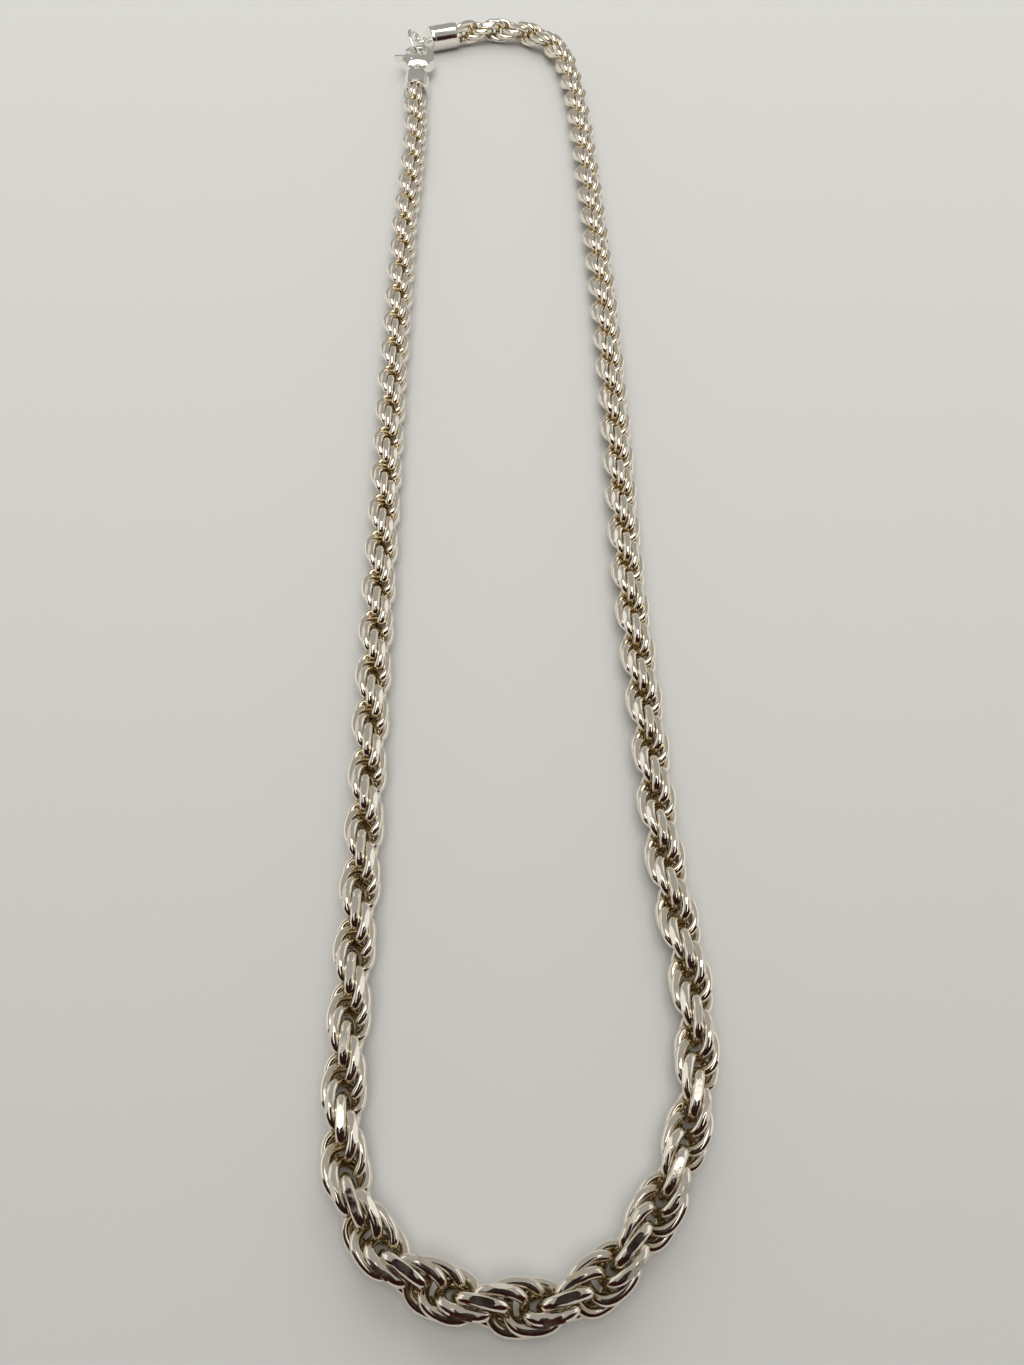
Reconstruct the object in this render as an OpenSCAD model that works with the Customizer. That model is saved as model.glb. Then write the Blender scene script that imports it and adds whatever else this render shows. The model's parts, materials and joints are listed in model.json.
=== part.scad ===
// Rope chain necklace, a closed loop that lies on a surface.
// X is to the right, +Y runs from the front bend to the clasp, +Z is up, millimetres.
// The origin is on the surface, at the middle of the loop.

/* [Chain] */
// Width of the twisted rope of links
chain_w = 5.7; // [4.5:0.1:6.5]

/* [End caps] */
// Outer diameter of an end cap
cap_d = 5.8; // [5:0.1:7]
// Length of an end cap without its eye
cap_len = 7.4; // [5:0.1:9]
// Wall of an end cap round the rope
cap_wall = 0.3; // [0.25:0.05:0.6]
// How far the rope goes into an end cap
cap_depth = 3.5; // [2:0.1:4.5]
// Bevel round the closed end of an end cap
cap_bevel = 0.5; // [0.2:0.1:0.8]
// Radius of an end cap's eye, to the middle of its wire
eye_r = 1.75; // [1.65:0.05:1.9]
// Diameter of the eye's wire
eye_wire = 0.9; // [0.7:0.05:1]
// Roll of the right end cap, which tips its eye to suit the catch ring, degrees
eye_roll = -15; // [-30:1:0]

/* [Catch ring] */
// Radius of the catch ring, to the middle of its wire
ring_r = 3.7; // [3.3:0.1:4.2]
// Diameter of the catch ring's wire
ring_wire = 1; // [0.8:0.05:1.1]
// Lean of the catch ring from upright, degrees
ring_lean = 35; // [25:1:40]

/* [Clasp] */
// Length of the clasp, from its tail eye to its nose
clasp_len = 13; // [12:0.1:15]
// Outer radius of the hook's nose
nose_r = 3.5; // [3.3:0.1:3.8]
// Outer radius of the clasp's body
body_r = 3.9; // [3.6:0.1:4.3]
// Width of the hook, seen from above
hook_w = 1.5; // [1.2:0.05:1.6]
// Thickness of the hook at its nose
hook_t = 2; // [1.6:0.1:2.2]
// Thickness of the clasp at its pin
clasp_t = 3.4; // [3:0.1:4]
// Outer radius of the tail eye
tail_r = 1.8; // [1.7:0.05:2]
// Radius of the hole in the tail eye
tail_hole_r = 1; // [0.9:0.05:1.1]
// Thickness of the tail eye
tail_t = 1.5; // [1.2:0.1:1.6]

/* [Lever] */
// Thickness of the lever
lever_t = 1.4; // [1:0.1:1.8]
// Angle that the lever swings open
lever_open = 35; // [25:1:38]
// Width of the lever's gate arm
gate_w = 1.3; // [1:0.05:1.4]
// How far the thumb tab stands out from the clasp's side
tab_reach = 2.3; // [1:0.1:2.6]
// Diameter of the pin that the lever turns on
pin_d = 0.9; // [0.7:0.05:1.1]

/* [Fits] */
// Clearance between pieces that lie loose against each other
loose_gap = 0.15; // [0.1:0.05:0.2]
// Clearance round the pin
pin_gap = 0.05; // [0.02:0.01:0.08]

/* [Hidden] */
$fn = 64;
silver = [0.86, 0.84, 0.8];

// Middle of the clasp, and the directions of the catch ring and the right end cap from above
clasp_at = [-20.7, 124.2];
ring_turn = 90;
cap_turn = 21;

// Middle line of the rope between the end caps, from the clasp's side round the front bend
route = [
    [-20.1, 100], [-19.7, 80], [-20, 53], [-19.7, 29], [-19.2, -2], [-18.6, -26], [-18.2, -46],
    [-17.8, -62], [-17.4, -77], [-17, -93], [-16.9, -110], [-16.7, -121], [-15.8, -128.7],
    [-13.3, -134.3], [-9, -138.5], [-3.2, -141], [2.8, -141.9], [9.1, -140.9], [14.7, -136.7],
    [18.6, -131.7], [21.7, -125.4], [23.3, -120], [23.9, -113.6], [23.7, -105.6], [22.5, -95.6],
    [21.7, -84], [21.5, -73.8], [21, -62], [20.5, -46], [20.4, -10], [20.2, 21], [19.5, 53],
    [18.8, 76], [18.2, 92.5], [17.4, 107.7], [16.3, 118], [14.8, 127.3], [12.5, 133.3],
    [8.7, 138], [4, 140.8], [-2.4, 141.7], [-8.2, 140.9]
];
// How much higher the clasp lies than the rope, with the catch ring under its nose
clasp_lift = 0.3;
// A ring of the tube at most this far from the next
ring_step = 2.1 * chain_w;
tube_sides = 12;
// Straight stretch of rope outside each end cap
cap_lead = 2;

// Heights of the middle planes above the surface
chain_z = chain_w / 2;
cap_z = max(cap_d, chain_w) / 2;
clasp_z = cap_z + clasp_lift;
ring_z = ring_r * cos(ring_lean) + ring_wire / 2;

function toward(turn) = [cos(turn), sin(turn)];
function lifted(p, z) = [p[0], p[1], z];

// Clasp, in its own plan: x across it, y from its tail to its nose
nose_y = clasp_len / 2 - nose_r;
mouth_r = nose_r - hook_w;
tail_y = tail_r - clasp_len / 2;
body_y = 0.53 * nose_y + 0.47 * tail_y;
mouth_low = [0.15 * mouth_r, body_y + 1.05 * mouth_r];
mouth_low_r = 0.9 * mouth_r;
// How far a cut runs past the face that it goes through
over = 1;
// Thickness of the clasp along its length, as rows of y and thickness
thickness = [
    [-clasp_len / 2 - over, tail_t], [tail_y + 0.3 * tail_r, tail_t],
    [body_y - 0.55 * body_r, clasp_t], [body_y + 0.25 * body_r, clasp_t],
    [nose_y + 0.15 * nose_r, hook_t], [clasp_len / 2 + over, hook_t]
];

// Lever: it turns at the pin, and its gate arm ends in the hook's mouth
pin_at = [-0.41 * body_r, body_y - 0.26 * body_r];
root_wall = 0.8;
root_r = pin_d / 2 + root_wall;
gate_r = gate_w / 2;
gate_low = body_y + 0.13 * body_r;
gate_top = nose_y - 0.05 * mouth_r;
gate_tip = [hook_w / 2 - nose_r, gate_top - gate_r - loose_gap];
tab_root = [-0.56 * body_r, gate_low + 0.85 * gate_w];
tab_tip = [gate_r - body_r - tab_reach, gate_low + 1.1 * gate_w];
tab_r = 0.4 * gate_w;
slot_t = lever_t + 2 * loose_gap;
slot_cuts = 4;

// Catch ring: it goes through the hook's mouth and through the right cap's eye
ring_side = -0.1 * nose_r;
ring_slack = 0.5 * mouth_r;
ring_near = clasp_at + [ring_side, nose_y + mouth_r - ring_wire / 2 - ring_slack];
ring_mid = ring_near + ring_r * toward(ring_turn);
ring_far = ring_mid + ring_r * toward(ring_turn);

// End caps: an eye's middle stands this far out from the cap's closed end
eye_out = eye_r + 0.1;
cap_bore_r = cap_d / 2 - cap_wall;
right_eye = ring_far + (eye_r - eye_wire / 2 - ring_wire / 2 - 2 * loose_gap) * toward(ring_turn)
    + (ring_z - cap_z) * tan(ring_lean) * toward(ring_turn - 90);
right_base = right_eye + eye_out * toward(cap_turn);
right_mouth = right_base + cap_len * toward(cap_turn);
left_turn = -90;
left_eye = clasp_at + [0, tail_y - (tail_r + tail_hole_r) / 2 - 0.1];
left_base = left_eye + eye_out * toward(left_turn);
left_mouth = left_base + cap_len * toward(left_turn);

// Smooth curve through the points p at share t of the span that starts at point i
function reach(p, i) = norm(p[i + 1] - p[i]);
function slope(p, i) =
    i == 0 ? (p[1] - p[0]) / reach(p, 0) :
    i == len(p) - 1 ? (p[i] - p[i - 1]) / reach(p, i - 1) :
    let (before = reach(p, i - 1), after = reach(p, i))
    ((p[i + 1] - p[i]) * before / after + (p[i] - p[i - 1]) * after / before) / (before + after);
function curve(p, i, t) =
    (1 + 2 * t) * pow(1 - t, 2) * p[i] + t * t * (3 - 2 * t) * p[i + 1]
    + reach(p, i) * t * (1 - t) * ((1 - t) * slope(p, i) - t * slope(p, i + 1));
function steps(p, i) = ceil(reach(p, i) / ring_step);
function rested(p) = lifted(p, max(p[2], chain_z));

// Rope: full width between the end caps, and drawn in for its first rings, which go into them
end_rings = 2;
rope_end_r = min(chain_w / 2, (cap_bore_r - loose_gap) * cos(180 / tube_sides));
function left_axis(out) = lifted(left_mouth + out * toward(left_turn), cap_z);
function right_axis(out) = lifted(right_mouth + out * toward(cap_turn), cap_z);
middle_line = concat([left_axis(cap_lead)], [for (p = route) lifted(p, chain_z)],
                     [right_axis(cap_lead)]);
open_rope = [
    for (i = [0 : len(middle_line) - 2])
        for (k = [0 : steps(middle_line, i) - 1])
            rested(curve(middle_line, i, k / steps(middle_line, i)))
];
rope_path = concat(
    [for (out = [-cap_depth, 0, loose_gap]) left_axis(out)],
    open_rope,
    [for (out = [cap_lead, loose_gap, 0, -cap_depth]) right_axis(out)]
);
rope_radii = [
    for (i = [0 : len(rope_path) - 1])
        min(i, len(rope_path) - 1 - i) < end_rings ? rope_end_r : chain_w / 2
];

module taper_2d(a, ra, b, rb) {
    turn = atan2(b[1] - a[1], b[0] - a[0]);
    lean = acos((ra - rb) / norm(b - a));
    translate(a) circle(ra);
    translate(b) circle(rb);
    polygon([a + ra * toward(turn - lean), b + rb * toward(turn - lean),
             b + rb * toward(turn + lean), a + ra * toward(turn + lean)]);
}

module wire_ring(r, wire) {
    rotate_extrude() translate([r, 0]) circle(d = wire, $fn = 32);
}

// A tube along a path of points, with its own radius at each point
module swept_tube(path, radii, sides) {
    last = len(path) - 1;
    function along(i) = path[min(i + 1, last)] - path[max(i - 1, 0)];
    function side(i) = let (t = along(i)) [-t[1], t[0], 0] / norm([t[0], t[1]]);
    corners = [
        for (i = [0 : last])
            for (j = [0 : sides - 1])
                let (turn = 360 * (j + 0.5) / sides, r = radii[i] / cos(180 / sides))
                path[i] + r * cos(turn) * side(i) + [0, 0, r * sin(turn)]
    ];
    walls = [
        for (i = [0 : last - 1])
            for (j = [0 : sides - 1])
                let (a = i * sides + j, b = i * sides + (j + 1) % sides)
                each [[a, b + sides, b], [a, a + sides, b + sides]]
    ];
    start = [for (j = [0 : sides - 1]) j];
    finish = [for (j = [sides - 1 : -1 : 0]) last * sides + j];
    polyhedron(points = corners, faces = concat([start], walls, [finish]), convexity = 10);
}

module rope_chain() {
    color(silver) swept_tube(rope_path, rope_radii, tube_sides);
}

// An end cap with its closed end at the origin, its mouth towards +X and its eye rolled from flat
module end_cap(roll) {
    color(silver) {
        rotate([0, 90, 0]) difference() {
            union() {
                cylinder(h = cap_bevel, r1 = cap_d / 2 - cap_bevel, r2 = cap_d / 2);
                translate([0, 0, cap_bevel]) cylinder(h = cap_len - cap_bevel, d = cap_d);
            }
            translate([0, 0, cap_len - cap_depth - loose_gap])
                cylinder(h = cap_len, r = cap_bore_r);
        }
        translate([-eye_out, 0, 0]) rotate([roll, 0, 0]) wire_ring(eye_r, eye_wire);
    }
}

module ring_end_cap() {
    translate(lifted(right_base, cap_z)) rotate([0, 0, cap_turn]) end_cap(eye_roll);
}

module clasp_end_cap() {
    translate(lifted(left_base, cap_z)) rotate([0, 0, left_turn]) end_cap(90);
}

module catch_ring() {
    color(silver)
        translate(lifted(ring_mid, ring_z)) rotate([0, 0, ring_turn])
            rotate([90 - ring_lean, 0, 0]) wire_ring(ring_r, ring_wire);
}

module lever_2d(r_more) {
    taper_2d(pin_at, root_r + r_more, gate_tip, gate_r + r_more);
    taper_2d(tab_root, gate_r + r_more, tab_tip, tab_r + r_more);
}

module clasp_body() {
    edge = concat([for (row = thickness) [row[0], row[1] / 2]],
                  [for (i = [len(thickness) - 1 : -1 : 0]) [thickness[i][0], -thickness[i][1] / 2]]);
    color(silver) translate(lifted(clasp_at, clasp_z)) difference() {
        intersection() {
            translate([0, 0, -clasp_t / 2]) linear_extrude(clasp_t) {
                taper_2d([0, nose_y], nose_r, [0, body_y], body_r);
                taper_2d([0, body_y], body_r, [0, tail_y], tail_r);
            }
            translate([-clasp_len, 0, 0]) rotate([90, 0, 90])
                linear_extrude(2 * clasp_len) polygon(edge);
        }
        translate([0, 0, -clasp_t]) linear_extrude(2 * clasp_t) {
            taper_2d([0, nose_y], mouth_r, mouth_low, mouth_low_r);
            translate([-2 * body_r, gate_low]) square([2 * body_r - over, gate_top - gate_low]);
            translate([0, tail_y]) circle(tail_hole_r);
        }
        translate([0, 0, -slot_t / 2]) linear_extrude(slot_t)
            for (swing = [0 : lever_open / slot_cuts : lever_open])
                translate(pin_at) rotate(-swing) translate(-pin_at) lever_2d(loose_gap);
        translate(lifted(pin_at, -clasp_t)) cylinder(h = 2 * clasp_t, d = pin_d + 2 * pin_gap);
    }
}

module clasp_lever() {
    color(silver) translate(lifted(clasp_at, clasp_z - lever_t / 2)) difference() {
        linear_extrude(lever_t) lever_2d(0);
        translate(lifted(pin_at, -over)) cylinder(h = lever_t + 2 * over, d = pin_d + 2 * pin_gap);
    }
}

module lever_pin() {
    color(silver) translate(lifted(clasp_at + pin_at, clasp_z - clasp_t / 2))
        cylinder(h = clasp_t, d = pin_d);
}

rope_chain();
ring_end_cap();
clasp_end_cap();
catch_ring();
clasp_body();
clasp_lever();
lever_pin();
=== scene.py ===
import json
import math
import random

import bpy
from mathutils import Matrix, Vector

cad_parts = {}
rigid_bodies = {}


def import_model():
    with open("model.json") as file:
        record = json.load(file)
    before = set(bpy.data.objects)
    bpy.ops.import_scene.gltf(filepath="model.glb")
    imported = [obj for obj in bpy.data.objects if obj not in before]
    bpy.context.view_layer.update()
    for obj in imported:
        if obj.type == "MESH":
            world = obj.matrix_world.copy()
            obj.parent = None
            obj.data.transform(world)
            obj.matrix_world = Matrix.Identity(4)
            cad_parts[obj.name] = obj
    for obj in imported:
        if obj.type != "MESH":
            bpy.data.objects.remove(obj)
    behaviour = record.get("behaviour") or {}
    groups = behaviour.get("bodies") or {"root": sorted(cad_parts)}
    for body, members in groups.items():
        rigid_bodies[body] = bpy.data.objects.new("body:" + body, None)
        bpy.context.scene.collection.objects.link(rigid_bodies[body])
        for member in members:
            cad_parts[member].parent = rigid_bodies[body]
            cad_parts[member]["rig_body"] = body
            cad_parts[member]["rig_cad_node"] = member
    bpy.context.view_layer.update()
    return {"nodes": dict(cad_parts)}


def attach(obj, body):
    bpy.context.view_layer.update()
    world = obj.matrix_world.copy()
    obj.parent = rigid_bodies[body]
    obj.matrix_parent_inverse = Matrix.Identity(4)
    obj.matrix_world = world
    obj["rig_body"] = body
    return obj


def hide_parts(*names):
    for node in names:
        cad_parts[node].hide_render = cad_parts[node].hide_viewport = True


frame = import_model()
scene = bpy.context.scene
nodes = frame["nodes"]
mm = 0.001
print("Frame loaded with", len(nodes), "CAD nodes")


# Camera, held over the front bend
cameraHold = {
    "place": (2.35 * mm, -152.6 * mm, 127.54 * mm),
    "tiltDown": 54.57,
    "focalPixels": 1060,
    "framePixels": 1365,  # the long side of the photograph
    "sensor": 36,
    "clip": (5 * mm, 20),
}


def placeCamera():
    lens = bpy.data.cameras.new("frontCamera")
    lens.sensor_width = cameraHold["sensor"]
    lens.lens = cameraHold["focalPixels"] / cameraHold["framePixels"] * cameraHold["sensor"]
    lens.clip_start, lens.clip_end = cameraHold["clip"]
    holder = bpy.data.objects.new("frontCamera", lens)
    scene.collection.objects.link(holder)
    holder.location = cameraHold["place"]
    holder.rotation_euler = (math.radians(90 - cameraHold["tiltDown"]), 0, 0)
    scene.camera = holder


placeCamera()
print("Camera placed")


# Small helpers for working with the operators
weldReach = 0.002 * mm


def objectMode():
    if bpy.context.mode != "OBJECT":
        bpy.ops.object.mode_set(mode="OBJECT")


def pick(*objects):
    objectMode()
    bpy.ops.object.select_all(action="DESELECT")
    for item in objects:
        item.select_set(True)
    bpy.context.view_layer.objects.active = objects[0]


def startPiece():
    objectMode()
    bpy.ops.object.select_all(action="DESELECT")


def newPiece(name):
    piece = bpy.context.object
    piece.name = name
    piece.data.name = name
    bpy.ops.object.transform_apply(location=True, rotation=True, scale=True)
    return piece


def selectFaces(piece, wanted):
    objectMode()
    for part in (piece.data.vertices, piece.data.edges):
        part.foreach_set("select", [False] * len(part))
    for face in piece.data.polygons:
        face.select = wanted(face)
    bpy.ops.object.mode_set(mode="EDIT")
    bpy.ops.mesh.select_mode(type="FACE")


def selectCorners(piece, wanted):
    objectMode()
    for part in (piece.data.edges, piece.data.polygons):
        part.foreach_set("select", [False] * len(part))
    for corner in piece.data.vertices:
        corner.select = wanted(corner.co)
    bpy.context.tool_settings.mesh_select_mode = (True, False, False)
    bpy.ops.object.mode_set(mode="EDIT")


def faceOutwards():
    bpy.ops.mesh.select_all(action="SELECT")
    bpy.ops.mesh.remove_doubles(threshold=weldReach)
    bpy.ops.mesh.normals_make_consistent(inside=False)
    objectMode()


def applyAll(piece):
    pick(piece)
    for modifier in list(piece.modifiers):
        bpy.ops.object.modifier_apply(modifier=modifier.name)


def joinPieces(name, parts):
    pick(*parts)
    bpy.ops.object.join()
    joined = bpy.context.object
    joined.name = name
    joined.data.name = name
    return joined


# A turned piece: rings extruded along Z from a small disc, as rows of height and radius
def turnPiece(name, sides, rows):
    startPiece()
    firstHeight, firstRadius = rows[0]
    bpy.ops.mesh.primitive_circle_add(vertices=sides, radius=firstRadius, fill_type="NGON",
                                      location=(0, 0, firstHeight))
    piece = newPiece(name)
    bpy.ops.object.mode_set(mode="EDIT")
    bpy.ops.mesh.select_all(action="SELECT")
    bpy.ops.mesh.region_to_loop()
    height, radius = firstHeight, firstRadius
    for nextHeight, nextRadius in rows[1:]:
        bpy.ops.mesh.extrude_region_move(
            TRANSFORM_OT_translate={"value": (0, 0, nextHeight - height)})
        grow = nextRadius / radius
        bpy.ops.transform.resize(value=(grow, grow, 1), center_override=(0, 0, nextHeight))
        height, radius = nextHeight, nextRadius
    bpy.ops.mesh.edge_face_add()
    faceOutwards()
    return piece


# Small helpers for the node trees of the materials and the room
def newMaterial(name):
    material = bpy.data.materials.new(name)
    material.use_nodes = True
    return material, material.node_tree.nodes["Principled BSDF"]


# A value moved from one pair of limits to another
def moveLimits(tree, value, limits, result=(0, 1), soft=False):
    spread = tree.nodes.new("ShaderNodeMapRange")
    if soft:
        spread.interpolation_type = "SMOOTHSTEP"
    for socket, number in zip(("From Min", "From Max", "To Min", "To Max"), (*limits, *result)):
        spread.inputs[socket].default_value = number
    tree.links.new(value, spread.inputs["Value"])
    return spread.outputs["Result"]


def blendColours(tree, share, under, over):
    mix = tree.nodes.new("ShaderNodeMix")
    mix.data_type = "RGBA"
    tree.links.new(share, mix.inputs["Factor"])
    mix.inputs["B"].default_value = over
    if isinstance(under, tuple):
        mix.inputs["A"].default_value = under
    else:
        tree.links.new(under, mix.inputs["A"])
    return mix.outputs["Result"]


# Polished silver: painted shade, a darker and warmer tint, in the rope's hollows, with fine wear
silverLook = {
    "bright": (0.94, 0.885, 0.785, 1),
    # The darker warm colour: painted shade in the rope's hollows, and a random tarnish film on the
    # findings
    "tarnishAndShade": (0.72, 0.61, 0.42, 1),
    "findings": (0.93, 0.91, 0.87, 1),
    "roughness": (0.05, 0.16),  # where it is smooth and where it is worn
    "wear": {"scale": 900, "detail": 4, "limits": (0.35, 0.75)},
    "scratches": {"scale": 2600, "detail": 6, "strength": 0.25, "depth": 0.012 * mm},
    "hollowShade": (0.3, 0.85),  # shares of a link's reach: full painted shade inside one, bright past the other
    "film": (0.2, 0.45),
    "filmBright": (0.8, 1),
}


def grain(tree, place, look):
    noise = tree.nodes.new("ShaderNodeTexNoise")
    noise.inputs["Scale"].default_value = look["scale"]
    noise.inputs["Detail"].default_value = look["detail"]
    tree.links.new(place.outputs["Object"], noise.inputs["Vector"])
    return noise.outputs["Fac"]


def silverMaterial(name, bright, paintHollowShade):
    material, metal = newMaterial(name)
    tree = material.node_tree
    link = tree.links.new
    metal.inputs["Metallic"].default_value = 1
    place = tree.nodes.new("ShaderNodeTexCoord")
    wear = grain(tree, place, silverLook["wear"])
    rough = moveLimits(tree, wear, silverLook["wear"]["limits"], silverLook["roughness"])
    link(rough, metal.inputs["Roughness"])
    bump = tree.nodes.new("ShaderNodeBump")
    bump.inputs["Strength"].default_value = silverLook["scratches"]["strength"]
    bump.inputs["Distance"].default_value = silverLook["scratches"]["depth"]
    link(grain(tree, place, silverLook["scratches"]), bump.inputs["Height"])
    link(bump.outputs["Normal"], metal.inputs["Normal"])
    # On the rope the colour darkens towards the rope's middle as painted shade; on the findings it
    # is a random film from the wear noise
    if paintHollowShade:
        crest = tree.nodes.new("ShaderNodeAttribute")
        crest.attribute_name = "crest"
        share = moveLimits(tree, crest.outputs["Fac"], silverLook["hollowShade"], soft=True)
    else:
        share = moveLimits(tree, wear, silverLook["film"], silverLook["filmBright"])
    tint = blendColours(tree, share, silverLook["tarnishAndShade"], bright)
    link(tint, metal.inputs["Base Color"])
    return material


ropeSilver = silverMaterial("ropeSilver", silverLook["bright"], True)
findingSilver = silverMaterial("findingSilver", silverLook["findings"], False)
print("Silver finishes made")


# Where the clasp and the end caps lie, in millimetres and degrees, as in the CAD source
fittingPlaces = {
    "claspAt": (-20.7, 124.2),
    "claspHeight": 3.2,
    "capHeight": 2.9,
    "leftMouth": (-20.7, 108.75),
    "leftTurn": -90,
    "rightMouth": (-11.9726, 138.915),
    "rightTurn": 21,
    "rightRoll": -15,
    "ringMiddle": (-21.05, 131.4, 3.531),
    "ringLean": 35,
    "pinAt": (-22.299, 122.567, 3.2),
}


# The rope of links: its middle line is the same as the tube's in the CAD source
rope = {
    "route": [
        (-20.1, 100), (-19.7, 80), (-20, 53), (-19.7, 29), (-19.2, -2), (-18.6, -26),
        (-18.2, -46), (-17.8, -62), (-17.4, -77), (-17, -93), (-16.9, -110), (-16.7, -121),
        (-15.8, -128.7), (-13.3, -134.3), (-9, -138.5), (-3.2, -141), (2.8, -141.9),
        (9.1, -140.9), (14.7, -136.7), (18.6, -131.7), (21.7, -125.4), (23.3, -120),
        (23.9, -113.6), (23.7, -105.6), (22.5, -95.6), (21.7, -84), (21.5, -73.8), (21, -62),
        (20.5, -46), (20.4, -10), (20.2, 21), (19.5, 53), (18.8, 76), (18.2, 92.5),
        (17.4, 107.7), (16.3, 118), (14.8, 127.3), (12.5, 133.3), (8.7, 138), (4, 140.8),
        (-2.4, 141.7), (-8.2, 140.9),
    ],
    "height": 2.75,
    "stepsPerSpan": 24,
    "lead": 2,  # straight stretch outside each cap
    "inCap": 3,  # how far the links go into a cap
    "squeeze": (0.88, 0.9, 0.9),  # the size of the links in a cap
    "squeezePast": 0.4,  # and of those up to this far outside it
    "pitch": 1.654,  # from one link to the next
    "bendPitch": 1.735,  # and in the front bend, where the links are drawn apart
    "bend": (232, 303),  # where the bend is, along the rope from its left cap
    "bendFade": 6,
    "swell": 0.05,  # the links of the front bend are this much larger
    "swollen": (234, 288),
    "halfTurn": 5,  # links in half a turn of the rope
    "crestUpAt": 250.1,  # along the rope, where a link stands straight up
    "looseTurn": 1.2,  # degrees that a link may sit askew
    "looseLean": 1,
    "pieces": 6,
    "seed": 7,
}
linkShape = {
    "halfWidth": 2.15,  # of the oval, to the middle of the wire
    "halfLength": 2.6,
    "fullness": 2.5,  # 2 is a plain oval, and more makes its sides straighter
    "wireRadius": 0.63,
    "gapHalf": 0.85,  # half of the opening, at the end of the oval
    "ringSteps": 15,
    "nudge": 0.05,  # radians to each side of a spot, to find which way the wire runs there
    "wireSides": 6,
    "ovalGrow": 1.015,  # the cage shrinks this much along and across the wire when it is subdivided
    "wireGrow": 1.19,
    "flatAt": 2.59,  # the diamond cut, this far from the rope's middle
    "facets": 8,  # cut faces round the rope, with one of them straight up
    "cutThreshold": 0.0005,
    "cutFacing": 0.9999,  # how squarely a cut face looks along the cut, where 1 is full on
    "smoothAngle": 60,
}


def heading(degrees):
    return Vector((math.cos(math.radians(degrees)), math.sin(math.radians(degrees)), 0))


def middleLine():
    left = Vector((*fittingPlaces["leftMouth"], fittingPlaces["capHeight"]))
    right = Vector((*fittingPlaces["rightMouth"], fittingPlaces["capHeight"]))
    leftWay = heading(fittingPlaces["leftTurn"])
    rightWay = heading(fittingPlaces["rightTurn"])
    line = [left + rope["lead"] * leftWay]
    line += [Vector((x, y, rope["height"])) for x, y in rope["route"]]
    line.append(right + rope["lead"] * rightWay)
    slopes = []
    for i, point in enumerate(line):
        if i == 0 or i == len(line) - 1:
            a = max(i - 1, 0)
            slopes.append((line[a + 1] - line[a]).normalized())
            continue
        before = (point - line[i - 1]).length
        after = (line[i + 1] - point).length
        slopes.append(((line[i + 1] - point) * before / after
                       + (point - line[i - 1]) * after / before) / (before + after))
    path = [left - rope["inCap"] * leftWay, left]
    for i in range(len(line) - 1):
        reach = (line[i + 1] - line[i]).length
        for k in range(rope["stepsPerSpan"]):
            t = k / rope["stepsPerSpan"]
            path.append((1 + 2 * t) * (1 - t) ** 2 * line[i] + t * t * (3 - 2 * t) * line[i + 1]
                        + reach * t * (1 - t) * ((1 - t) * slopes[i] - t * slopes[i + 1]))
    path += [line[-1], right, right - rope["inCap"] * rightWay]
    return [Vector((p.x, p.y, max(p.z, rope["height"]))) * mm for p in path]


# One open oval in the XZ plane, extruded step by step, with both of its crests cut flat
def makeLink(cutDegrees):
    wide = linkShape["halfWidth"] * linkShape["ovalGrow"] * mm
    long = linkShape["halfLength"] * linkShape["ovalGrow"] * mm
    steps = linkShape["ringSteps"]
    power = 2 / linkShape["fullness"]
    gapTurn = math.asin((linkShape["gapHalf"] / linkShape["halfWidth"]) ** (1 / power))

    def onOval(angle):
        c, s = math.cos(angle), math.sin(angle)
        return Vector((math.copysign(wide * abs(c) ** power, c), 0,
                       math.copysign(long * abs(s) ** power, s)))

    spots = []
    for i in range(steps + 1):
        angle = math.pi / 2 + gapTurn + (2 * math.pi - 2 * gapTurn) * i / steps
        ahead = onOval(angle + linkShape["nudge"]) - onOval(angle - linkShape["nudge"])
        spots.append((onOval(angle), math.atan2(ahead.x, ahead.z)))  # turned from +Z towards +X
    startPiece()
    place, way = spots[0]
    bpy.ops.mesh.primitive_circle_add(vertices=linkShape["wireSides"], location=place,
                                      radius=linkShape["wireRadius"] * linkShape["wireGrow"] * mm,
                                      fill_type="NGON", rotation=(0, way, 0))
    link = newPiece("link")
    bpy.ops.object.mode_set(mode="EDIT")
    bpy.ops.mesh.select_all(action="SELECT")
    for nextPlace, nextWay in spots[1:]:
        bpy.ops.mesh.extrude_region_move(TRANSFORM_OT_translate={"value": nextPlace - place})
        bpy.ops.transform.rotate(value=way - nextWay, orient_axis="Y", center_override=nextPlace)
        place, way = nextPlace, nextWay
    faceOutwards()
    link.modifiers.new("rounding", "SUBSURF").levels = 1
    applyAll(link)
    cut = heading(cutDegrees)
    for side in (1, -1):
        pick(link)
        bpy.ops.object.mode_set(mode="EDIT")
        bpy.ops.mesh.select_all(action="SELECT")
        bpy.ops.mesh.bisect(plane_co=side * linkShape["flatAt"] * mm * cut, plane_no=side * cut,
                            use_fill=True, clear_outer=True, clear_inner=False,
                            threshold=linkShape["cutThreshold"] * mm)
        selectFaces(link, lambda face: face.normal.dot(side * cut) > linkShape["cutFacing"])
        bpy.ops.mesh.region_to_loop()
        bpy.ops.mesh.mark_sharp()
        objectMode()
    pick(link)
    bpy.ops.object.shade_smooth_by_angle(angle=math.radians(linkShape["smoothAngle"]))
    # How far out each point lies from the rope's middle; the rope's silver paints shade where this
    # is small
    crest = link.data.attributes.new("crest", "FLOAT", "POINT")
    full = (linkShape["halfWidth"] + linkShape["wireRadius"]) * mm
    crest.data.foreach_set("value", [math.hypot(v.co.x, v.co.y) / full for v in link.data.vertices])
    return link


# From 0 outside a stretch of the rope to 1 well inside it
def within(stretch, s):
    start, end = ((side + rope["inCap"]) * mm for side in stretch)
    return min(max(min(s - start, end - s) / (rope["bendFade"] * mm), 0), 1)


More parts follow.
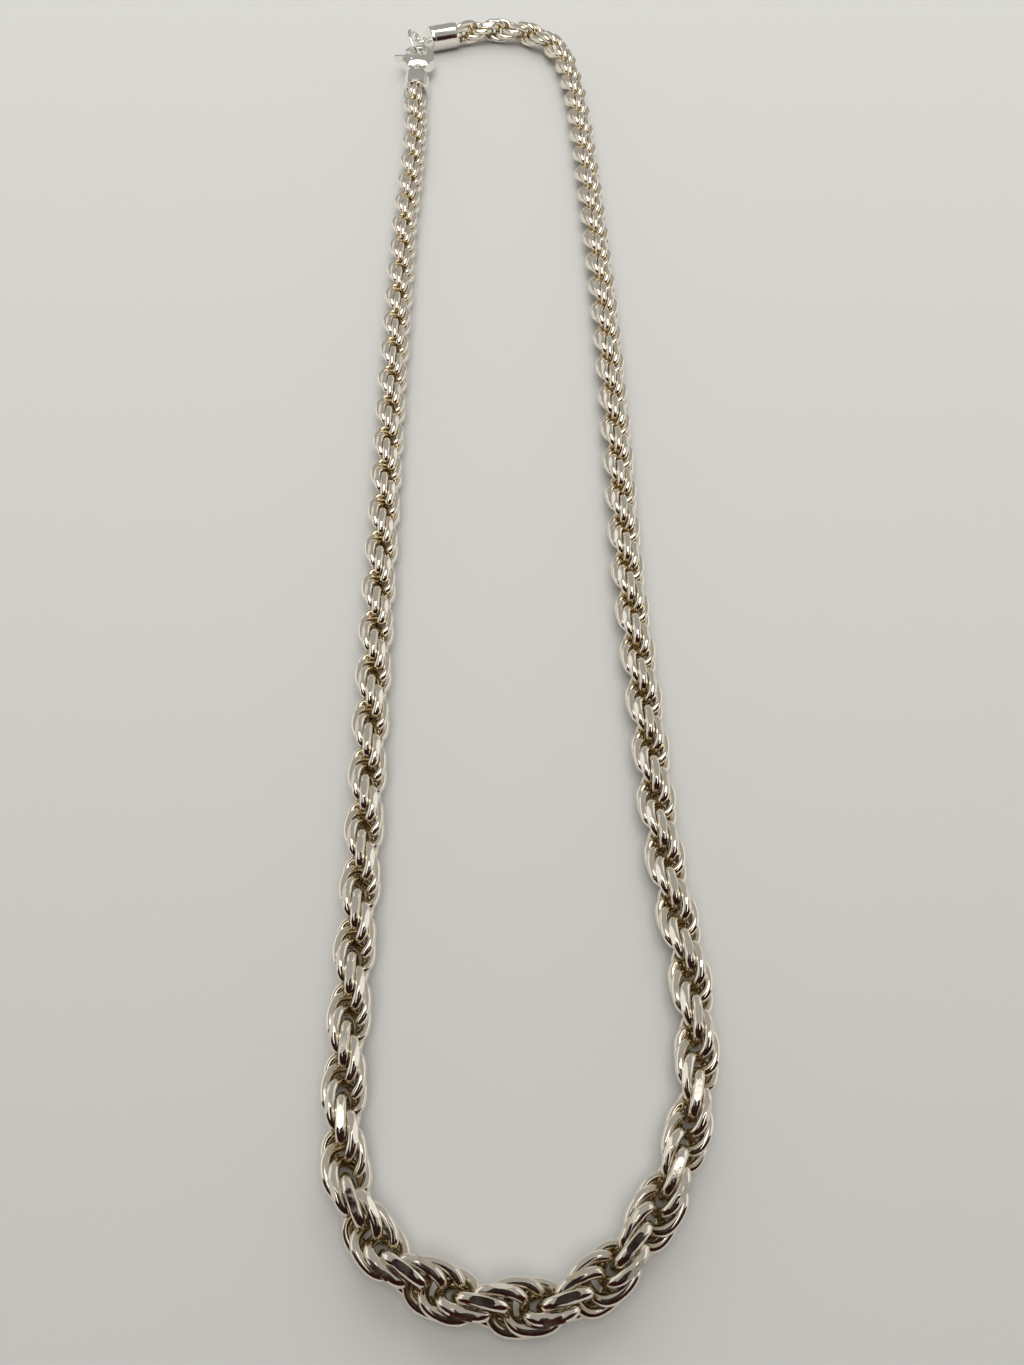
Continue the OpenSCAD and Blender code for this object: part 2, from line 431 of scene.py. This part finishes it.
# How far each link lies along the path, stepped both ways from the one that stands straight up
def linkSpots(length):
    upright = (rope["crestUpAt"] + rope["inCap"]) * mm
    edge = rope["pitch"] / 2 * mm
    spots = {}
    for way in (1, -1):
        k, s = 0, upright
        while edge < s < length - edge:
            spots[k] = s
            k += way
            drawn = within(rope["bend"], s) * (rope["bendPitch"] - rope["pitch"])
            s += way * (rope["pitch"] + drawn) * mm
    return sorted(spots.items())


def linkPlaces():
    path = middleLine()
    along = [0]
    for a, b in zip(path, path[1:]):
        along.append(along[-1] + (b - a).length)
    loose = random.Random(rope["seed"])
    places = []
    span = 0
    for k, s in linkSpots(along[-1]):
        while along[span + 1] < s:
            span += 1
        share = (s - along[span]) / (along[span + 1] - along[span])
        middle = path[span].lerp(path[span + 1], share)
        tangent = (path[span + 1] - path[span]).normalized()
        side = tangent.cross(Vector((0, 0, 1))).normalized()
        rise = side.cross(tangent)
        turn = math.radians(90 + 180 / rope["halfTurn"] * k
                            + loose.uniform(-rope["looseTurn"], rope["looseTurn"]))
        outward = math.cos(turn) * side + math.sin(turn) * rise
        flank = tangent.cross(outward)
        place = Matrix((outward, flank, tangent)).transposed().to_4x4()
        askew = loose.uniform(-rope["looseLean"], rope["looseLean"])
        lean = Matrix.Rotation(math.radians(askew), 4, "X")
        inside = min(s, along[-1] - s) < (rope["inCap"] + rope["squeezePast"]) * mm
        swell = 1 + rope["swell"] * within(rope["swollen"], s)
        size = Matrix.Diagonal((*(rope["squeeze"] if inside else 3 * (swell,)), 1))
        places.append((k, Matrix.Translation(middle) @ place @ lean @ size))
    return places


def makeRope():
    facetStep = 360 / linkShape["facets"]
    links = []
    for k in range(rope["halfTurn"]):
        crest = 180 / rope["halfTurn"] * k
        links.append(makeLink(crest - round(crest / facetStep) * facetStep))
    places = linkPlaces()
    print("A link has", len(links[0].data.polygons), "faces; the rope has", len(places), "links")
    share = math.ceil(len(places) / rope["pieces"])
    for first in range(0, len(places), share):
        copies = []
        for k, place in places[first:first + share]:
            link = links[k % rope["halfTurn"]]
            copy = link.copy()
            copy.data = link.data.copy()
            copy.data.transform(place)
            scene.collection.objects.link(copy)
            copies.append(copy)
        piece = joinPieces(f"ropeLinks{first // share + 1}", copies)
        piece.data.materials.clear()
        piece.data.materials.append(ropeSilver)
        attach(piece, "necklace")
        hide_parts("rope_chain")
    for link in links:
        bpy.data.objects.remove(link)


makeRope()
print("Rope of links made")


# End caps: a turned barrel with a domed end, two engraved lines and a soldered eye
endCap = {
    "sides": 48,
    "length": 7.4,
    "radius": 2.9,
    "dome": [(-0.28, 0.55), (-0.2, 0.75), (-0.04, 1), (0, 1.4), (0.03, 1.9), (0.12, 2.3),
             (0.3, 2.62), (0.55, 2.81), (0.85, 2.88), (1, 2.9)],  # as rows of height and radius
    "bore": 2.62,
    "boreDepth": 0.6,  # solder fills the rest
    "boreFloor": 0.4,
    "lip": 0.08,
    "lipInside": 0.06,
    "lipRise": 0.12,
    "linesAt": (1.1, 6.56),
    "slimAt": (1.6, 6.3),
    "lineEdge": 0.04,
    "lineWide": 0.16,
    "lineDeep": 0.07,
    "waist": (0.01, 0.02),  # how much slimmer it is at a line's edge, and between the lines
    "eyeRadius": 1.75,
    "eyeWire": 0.45,
    "eyeOut": 1.85,
    "eyeSides": (40, 12),
    "smoothAngle": 35,
}


# An engraved line, as rows between the radii of the barrel before and after it
def engravedLine(start, before, after):
    edge, wide = endCap["lineEdge"], endCap["lineWide"]
    deep = endCap["radius"] - endCap["lineDeep"]
    return [(start, before), (start + edge, deep), (start + edge + wide, deep),
            (start + 2 * edge + wide, after)]


def makeCap(name, node, mouth, turn, roll):
    r, full, bore = endCap["radius"], endCap["length"], endCap["bore"]
    beside, slim = (r - less for less in endCap["waist"])
    first, second = endCap["linesAt"]
    slimFrom, slimTo = endCap["slimAt"]
    lip, floor = endCap["lip"], full - endCap["boreDepth"]
    rows = endCap["dome"] + engravedLine(first, r, beside)
    rows += [(slimFrom, slim), (full / 2, beside), (slimTo, slim)]
    rows += engravedLine(second, beside, r)
    rows += [(full - endCap["lipRise"], r), (full, r - lip), (full, bore + endCap["lipInside"]),
             (full - lip, bore), (floor, bore), (floor, endCap["boreFloor"])]
    barrel = turnPiece(name, endCap["sides"], [(h * mm, w * mm) for h, w in rows])
    barrel.data.transform(Matrix.Rotation(math.radians(90), 4, "Y"))
    startPiece()
    around, across = endCap["eyeSides"]
    bpy.ops.mesh.primitive_torus_add(major_radius=endCap["eyeRadius"] * mm,
                                     minor_radius=endCap["eyeWire"] * mm, major_segments=around,
                                     minor_segments=across, rotation=(math.radians(roll), 0, 0),
                                     location=(-endCap["eyeOut"] * mm, 0, 0))
    eye = newPiece("eye")
    cap = joinPieces(name, [barrel, eye])
    way = heading(turn)
    base = Vector((*mouth, fittingPlaces["capHeight"])) - full * way
    cap.data.transform(Matrix.Translation(base * mm) @ Matrix.Rotation(math.radians(turn), 4, "Z"))
    pick(cap)
    bpy.ops.object.shade_smooth_by_angle(angle=math.radians(endCap["smoothAngle"]))
    cap.data.materials.append(findingSilver)
    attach(cap, "necklace")
    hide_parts(node)


makeCap("leftCap", "clasp_end_cap", fittingPlaces["leftMouth"], fittingPlaces["leftTurn"], 90)
makeCap("rightCap", "ring_end_cap", fittingPlaces["rightMouth"], fittingPlaces["rightTurn"],
        fittingPlaces["rightRoll"])
print("End caps made")


# Catch ring
catchRing = {"radius": 3.7, "wire": 0.5, "sides": 64, "wireSides": 14}


def makeRing():
    startPiece()
    bpy.ops.mesh.primitive_torus_add(major_radius=catchRing["radius"] * mm,
                                     minor_radius=catchRing["wire"] * mm,
                                     major_segments=catchRing["sides"],
                                     minor_segments=catchRing["wireSides"])
    ring = newPiece("catchRing")
    lean = Matrix.Rotation(math.radians(90 - fittingPlaces["ringLean"]), 4, "X")
    ring.data.transform(Matrix.Translation(Vector(fittingPlaces["ringMiddle"]) * mm)
                        @ Matrix.Rotation(math.radians(90), 4, "Z") @ lean)
    pick(ring)
    bpy.ops.object.shade_smooth()
    ring.data.materials.append(findingSilver)
    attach(ring, "necklace")
    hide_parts("catch_ring")


makeRing()
print("Catch ring made")


# Clasp body and lever: cast forms, so their CAD shapes are rounded all over
castForms = {
    "claspBody": {"node": "clasp_body", "body": "necklace", "grain": 0.08, "rounds": 70,
                  "crown": 0.85},
    "claspLever": {"node": "clasp_lever", "body": "lever", "grain": 0.06, "rounds": 20, "crown": 0},
}
softness = 0.5  # how far each round moves a point towards its neighbours
cheeks = {
    "inner": 0.85,  # from the clasp's middle plane
    "halfWidth": 3.7,
}


# The upper and lower faces are crowned: they fall away towards the clasp's two sides
def crownFaces(piece, crown):
    middle = Vector((*fittingPlaces["claspAt"], fittingPlaces["claspHeight"])) * mm
    for corner in piece.data.vertices:
        spot = corner.co - middle
        above = max(abs(spot.z) - cheeks["inner"] * mm, 0)
        share = min(abs(spot.x) / (cheeks["halfWidth"] * mm), 1)
        corner.co.z -= math.copysign(above * crown * share * share, spot.z)


def castPiece(name, form):
    source = nodes[form["node"]]
    piece = source.copy()
    piece.data = source.data.copy()
    piece.name = name
    piece.data.name = name
    piece.parent = None
    scene.collection.objects.link(piece)
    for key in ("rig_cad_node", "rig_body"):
        if key in piece:
            del piece[key]
    pick(piece)
    bpy.ops.object.mode_set(mode="EDIT")
    faceOutwards()
    remesh = piece.modifiers.new("grain", "REMESH")
    remesh.mode = "VOXEL"
    remesh.voxel_size = form["grain"] * mm
    smooth = piece.modifiers.new("rounding", "SMOOTH")
    smooth.factor = softness
    smooth.iterations = form["rounds"]
    applyAll(piece)
    crownFaces(piece, form["crown"])
    pick(piece)
    bpy.ops.object.shade_smooth()
    piece.data.materials.clear()
    piece.data.materials.append(findingSilver)
    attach(piece, form["body"])
    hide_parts(form["node"])
    print(name, "has", len(piece.data.polygons), "faces")


for castName, castForm in castForms.items():
    castPiece(castName, castForm)


# Pin: a rivet with domed heads, flush with the clasp's cheeks
rivet = {
    "radius": 0.45,
    "half": 1.7,
    "dome": 0.12,
    "domeShares": (0.5, 0.8),  # of the radius, at the top of the head and halfway down it
    "sides": 24,
    "smoothAngle": 40,
}


def makePin():
    r, half, dome = rivet["radius"], rivet["half"], rivet["dome"]
    top, low = rivet["domeShares"]
    rows = [(-half, top * r), (dome / 2 - half, low * r), (dome - half, r),
            (half - dome, r), (half - dome / 2, low * r), (half, top * r)]
    pin = turnPiece("rivetPin", rivet["sides"], [(h * mm, w * mm) for h, w in rows])
    pin.data.transform(Matrix.Translation(Vector(fittingPlaces["pinAt"]) * mm))
    pick(pin)
    bpy.ops.object.shade_smooth_by_angle(angle=math.radians(rivet["smoothAngle"]))
    pin.data.materials.append(findingSilver)
    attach(pin, "necklace")
    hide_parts("lever_pin")


makePin()
print("Clasp, lever and pin made")


# Surface under the chain
surfaceLook = {"size": 3, "colour": (0.58, 0.585, 0.575, 1), "roughness": 0.75}


def layFloor():
    startPiece()
    bpy.ops.mesh.primitive_plane_add(size=surfaceLook["size"])
    floor = newPiece("paleSurface")
    material, base = newMaterial("paleSurface")
    base.inputs["Roughness"].default_value = surfaceLook["roughness"]
    base.inputs["Base Color"].default_value = surfaceLook["colour"]
    floor.data.materials.append(material)


layFloor()


# Light: a grey room with a bright lamp overhead, low bright sides and a dark front
skyLook = {
    "dome": (0.35, 0.34, 0.32, 1),
    "lamp": (2.9, 2.82, 2.67, 1),
    "lampWide": 0.33,
    "lampLong": (-0.7, 0.22),  # towards the front and towards the back
    "sides": (0.85, 0.835, 0.8, 1),
    "sidesOut": 0.6,
    "sidesRise": 0.45,
    "soft": 0.05,
}


def both(tree, first, second):
    times = tree.nodes.new("ShaderNodeMath")
    times.operation = "MULTIPLY"
    tree.links.new(first, times.inputs[0])
    tree.links.new(second, times.inputs[1])
    return times.outputs[0]


# One where the value lies between two limits, with soft edges
def inBand(tree, value, low, high):
    soft = skyLook["soft"]
    above = moveLimits(tree, value, (low - soft, low + soft), soft=True)
    below = moveLimits(tree, value, (high + soft, high - soft), soft=True)
    return both(tree, above, below)


def lightRoom():
    world = bpy.data.worlds.new("softRoom")
    scene.world = world
    world.use_nodes = True
    tree = world.node_tree
    coords = tree.nodes.new("ShaderNodeTexCoord")
    split = tree.nodes.new("ShaderNodeSeparateXYZ")
    tree.links.new(coords.outputs["Generated"], split.inputs[0])
    x, y, z = (split.outputs[axis] for axis in "XYZ")
    out = tree.nodes.new("ShaderNodeMath")
    out.operation = "ABSOLUTE"
    tree.links.new(x, out.inputs[0])
    sides = both(tree, inBand(tree, out.outputs[0], skyLook["sidesOut"], 2),
                 inBand(tree, z, -1, skyLook["sidesRise"]))
    colour = blendColours(tree, sides, skyLook["dome"], skyLook["sides"])
    lamp = both(tree, inBand(tree, x, -skyLook["lampWide"], skyLook["lampWide"]),
                both(tree, inBand(tree, y, *skyLook["lampLong"]), inBand(tree, z, 0, 2)))
    colour = blendColours(tree, lamp, colour, skyLook["lamp"])
    tree.links.new(colour, tree.nodes["Background"].inputs["Color"])


# Dark cards that the silver reflects: one round the front, one behind the lens
darkCards = {
    "wallMiddle": (0, -60),
    "wallRadius": 300,
    "wallSides": 72,
    "wallSpread": 72,  # degrees to each side of the front
    "wallLow": 0,
    "wallHigh": 300,
    "wallGlow": (0.03, 0.008, 0.006, 1),
    "lensWide": 110,
    "lensAbove": 70,
    "lensBelow": 130,
    "lensBack": 6,
    "lensGlow": (0.014, 0.007, 0.006, 1),
}


def finishCard(card, name, glow, shades):
    material, surface = newMaterial(name)
    surface.inputs["Base Color"].default_value = (0, 0, 0, 1)
    surface.inputs["Specular IOR Level"].default_value = 0
    surface.inputs["Emission Color"].default_value = glow
    surface.inputs["Emission Strength"].default_value = 1
    card.data.materials.append(material)
    card.visible_camera = False
    card.visible_diffuse = shades
    card.visible_shadow = shades


def standWall():
    startPiece()
    bpy.ops.mesh.primitive_circle_add(vertices=darkCards["wallSides"],
                                      radius=darkCards["wallRadius"] * mm)
    wall = newPiece("frontCard")
    edge = math.cos(math.radians(darkCards["wallSpread"]))
    selectCorners(wall, lambda corner: corner.normalized().dot(heading(-90)) < edge)
    bpy.ops.mesh.delete(type="VERT")
    bpy.ops.mesh.select_all(action="SELECT")
    rise = (darkCards["wallHigh"] - darkCards["wallLow"]) * mm
    bpy.ops.mesh.extrude_region_move(TRANSFORM_OT_translate={"value": (0, 0, rise)})
    objectMode()
    x, y = darkCards["wallMiddle"]
    wall.data.transform(Matrix.Translation(Vector((x, y, darkCards["wallLow"])) * mm))
    finishCard(wall, "frontCard", darkCards["wallGlow"], True)


def hangLensCard():
    tilt = math.radians(cameraHold["tiltDown"])
    lookWay = Vector((0, math.cos(tilt), -math.sin(tilt)))
    downWay = Vector((0, -math.sin(tilt), -math.cos(tilt)))
    middle = Vector(cameraHold["place"]) - darkCards["lensBack"] * mm * lookWay
    middle += (darkCards["lensBelow"] - darkCards["lensAbove"]) / 2 * mm * downWay
    startPiece()
    bpy.ops.mesh.primitive_plane_add(size=1)
    card = newPiece("lensCard")
    long = (darkCards["lensAbove"] + darkCards["lensBelow"]) * mm
    card.data.transform(Matrix.Diagonal((darkCards["lensWide"] * mm, long, 1, 1)))
    card.data.transform(Matrix.Translation(middle)
                        @ Matrix.Rotation(math.radians(90 - cameraHold["tiltDown"]), 4, "X"))
    finishCard(card, "lensCard", darkCards["lensGlow"], False)


# A wide light behind the loop for the surface alone
floorLight = {
    "place": (0, 1.1, 0.9),
    "size": (1.6, 1.2),
    "power": 12,
    "colour": (1, 0.985, 0.97),
}


def hangFloorLight():
    light = bpy.data.lights.new("floorLight", "AREA")
    light.shape = "RECTANGLE"
    light.size, light.size_y = floorLight["size"]
    light.energy = floorLight["power"]
    light.color = floorLight["colour"]
    lamp = bpy.data.objects.new("floorLight", light)
    scene.collection.objects.link(lamp)
    lamp.visible_glossy = False  # the silver reflects the room alone
    lamp.location = floorLight["place"]
    towardsLoop = -Vector(floorLight["place"])
    lamp.rotation_euler = towardsLoop.to_track_quat("-Z", "Y").to_euler()


lightRoom()
standWall()
hangLensCard()
hangFloorLight()
scene.view_settings.view_transform = "Standard"
scene.view_settings.look = "None"
print("Floor and light made")
